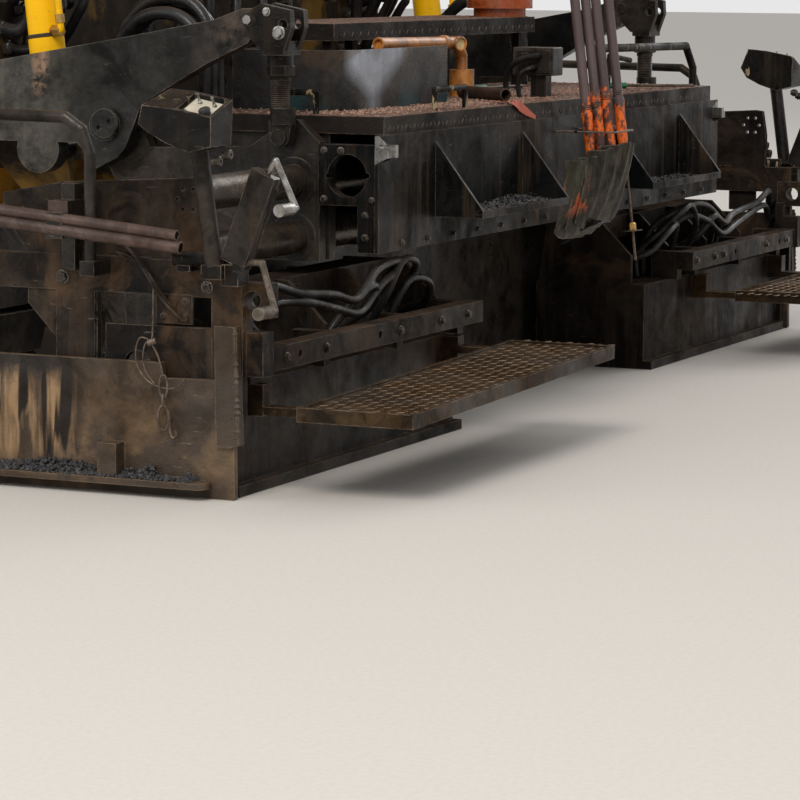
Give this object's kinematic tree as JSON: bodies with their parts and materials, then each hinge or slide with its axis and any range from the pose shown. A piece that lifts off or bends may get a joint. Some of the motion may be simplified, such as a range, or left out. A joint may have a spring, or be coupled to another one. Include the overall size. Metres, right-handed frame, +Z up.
{
  "type": "tracked asphalt paver with extending screed",
  "caption": "Tracked road paver: front hopper with folding wings, slat conveyors and augers, and a towed screed with sliding extensions, end gates, walkway deck and lift cylinders.",
  "frame": {"origin": "on the ground, under the middle of the bounding box, on the machine's centre line", "axes": "+X forward to the push rollers, +Y to the machine's left, +Z up; the screed is at -X"},
  "size_m": [6.6, 5.06, 3.63],
  "materials": {
    "paint_yellow": "worn gloss paint, dusty",
    "dark_steel": "black paint worn oily, with brown rust",
    "worn_steel": "bare steel rubbed by hot mix",
    "rusty_steel": "rust brown over chequer plate",
    "black_rubber": "dull, dusty",
    "orange_paint": "orange red paint, rusted",
    "shovel_wood": "stained handles",
    "chrome_rod": "polished, oily",
    "track_pads": "dull rubber pads with asphalt dust",
    "seat_cover": "black seat cover"
  },
  "bodies": {
    "tractor": {"chassis_frame": "paint_yellow", "lift_brackets": "paint_yellow", "track_left": "track_pads", "track_right": "track_pads", "track_frames": "dark_steel", "hopper_floor": "worn_steel", "conveyors": "worn_steel", "engine_block": "dark_steel", "engine_housing": "paint_yellow", "platform": "dark_steel", "console": "dark_steel", "canopy": "paint_yellow", "auger_drive": "dark_steel"},
    "engine_lid": {"engine_lid": "paint_yellow"},
    "seat_left": {"seat_left": "seat_cover"},
    "seat_right": {"seat_right": "seat_cover"},
    "auger_left": {"auger_left": "worn_steel"},
    "auger_right": {"auger_right": "worn_steel"},
    "wing_left": {"hopper_wing_left": "paint_yellow"},
    "wing_right": {"hopper_wing_right": "paint_yellow"},
    "push_bar": {"push_bar": "dark_steel"},
    "roller_left": {"push_roller_left": "worn_steel"},
    "roller_right": {"push_roller_right": "worn_steel"},
    "screed": {"tow_arms": "dark_steel", "screed_frame": "dark_steel", "screed_sole": "worn_steel", "screed_deck": "rusty_steel", "rear_hood": "dark_steel", "rigging_screws": "dark_steel", "heat_shield": "dark_steel", "bottle_shelf": "rusty_steel", "gas_bottle": "orange_paint", "shovels": "shovel_wood", "deck_hoses": "black_rubber"},
    "barrel_left": {"lift_barrel_left": "paint_yellow"},
    "barrel_right": {"lift_barrel_right": "paint_yellow"},
    "rod_left": {"lift_rod_left": "chrome_rod"},
    "rod_right": {"lift_rod_right": "chrome_rod"},
    "extension_left": {"ext_frame_left": "dark_steel", "guide_tubes_left": "worn_steel", "ext_step_left": "rusty_steel", "ext_rail_left": "dark_steel", "control_box_left": "dark_steel", "ext_hoses_left": "black_rubber"},
    "extension_right": {"ext_frame_right": "dark_steel", "guide_tubes_right": "worn_steel", "ext_step_right": "rusty_steel", "ext_rail_right": "dark_steel", "control_box_right": "dark_steel", "ext_hoses_right": "black_rubber"},
    "gate_left": {"end_gate_left": "rusty_steel"},
    "gate_right": {"end_gate_right": "rusty_steel"}
  },
  "joints": [
    {"name": "screed_lift", "type": "hinge", "parent": "tractor", "child": "screed", "pos_m": [1.1, 0, 0.56], "axis": [0, 1, 0], "range_deg": [0, 4.5]},
    {"name": "lift_barrel_left", "type": "hinge", "parent": "tractor", "child": "barrel_left", "pos_m": [-1.604, 1.435, 1.75], "axis": [0, 1, 0], "range_deg": [-0.8, 0.1]},
    {"name": "lift_rod_left", "type": "slide", "parent": "barrel_left", "child": "rod_left", "axis": [0.1238, 0, 0.9923], "range_m": [0, 0.225]},
    {"name": "lift_barrel_right", "type": "hinge", "parent": "tractor", "child": "barrel_right", "pos_m": [-1.604, -1.435, 1.75], "axis": [0, 1, 0], "range_deg": [-0.8, 0.1]},
    {"name": "lift_rod_right", "type": "slide", "parent": "barrel_right", "child": "rod_right", "axis": [0.1238, 0, 0.9923], "range_m": [0, 0.225]},
    {"name": "extension_left", "type": "slide", "parent": "screed", "child": "extension_left", "axis": [0, 1, 0], "range_m": [-0.84, 0.6]},
    {"name": "gate_left", "type": "slide", "parent": "extension_left", "child": "gate_left", "axis": [0, 0, 1], "range_m": [0, 0.1]},
    {"name": "auger_left", "type": "hinge", "parent": "tractor", "child": "auger_left", "pos_m": [-1.7, 0.7, 0.42], "axis": [0, 1, 0], "continuous": true},
    {"name": "wing_left", "type": "hinge", "parent": "tractor", "child": "wing_left", "pos_m": [2.16, 0.69, 0.7], "axis": [1, 0, 0], "range_deg": [0, 50]},
    {"name": "seat_left", "type": "hinge", "parent": "tractor", "child": "seat_left", "pos_m": [-0.9, 0.88, 1.92], "axis": [0, 0, 1], "range_deg": [-45, 45]},
    {"name": "roller_left", "type": "hinge", "parent": "push_bar", "child": "roller_left", "pos_m": [3.205, 0.59, 0.48], "axis": [0, 1, 0], "continuous": true},
    {"name": "extension_right", "type": "slide", "parent": "screed", "child": "extension_right", "axis": [0, -1, 0], "range_m": [-0.84, 0.6]},
    {"name": "gate_right", "type": "slide", "parent": "extension_right", "child": "gate_right", "axis": [0, 0, 1], "range_m": [0, 0.1]},
    {"name": "auger_right", "type": "hinge", "parent": "tractor", "child": "auger_right", "pos_m": [-1.7, -0.7, 0.42], "axis": [0, 1, 0], "continuous": true},
    {"name": "wing_right", "type": "hinge", "parent": "tractor", "child": "wing_right", "pos_m": [2.16, -0.69, 0.7], "axis": [-1, 0, 0], "range_deg": [0, 50]},
    {"name": "seat_right", "type": "hinge", "parent": "tractor", "child": "seat_right", "pos_m": [-0.9, -0.88, 1.92], "axis": [0, 0, 1], "range_deg": [-45, 45]},
    {"name": "roller_right", "type": "hinge", "parent": "push_bar", "child": "roller_right", "pos_m": [3.205, -0.59, 0.48], "axis": [0, 1, 0], "continuous": true},
    {"name": "push_bar", "type": "hinge", "parent": "tractor", "child": "push_bar", "pos_m": [2.985, 0, 0.48], "axis": [0, 0, 1], "range_deg": [-6, 6]},
    {"name": "engine_lid", "type": "hinge", "parent": "tractor", "child": "engine_lid", "pos_m": [1.126, 0, 1.982], "axis": [0, 1, 0], "range_deg": [0, 60]}
  ],
  "couplings": [
    {"joint": "lift_barrel_left", "follows": "screed_lift", "ratio": -0.07},
    {"joint": "lift_rod_left", "follows": "screed_lift", "m_per_rad": 2.829},
    {"joint": "lift_barrel_right", "follows": "screed_lift", "ratio": -0.07},
    {"joint": "lift_rod_right", "follows": "screed_lift", "m_per_rad": 2.829}
  ]
}
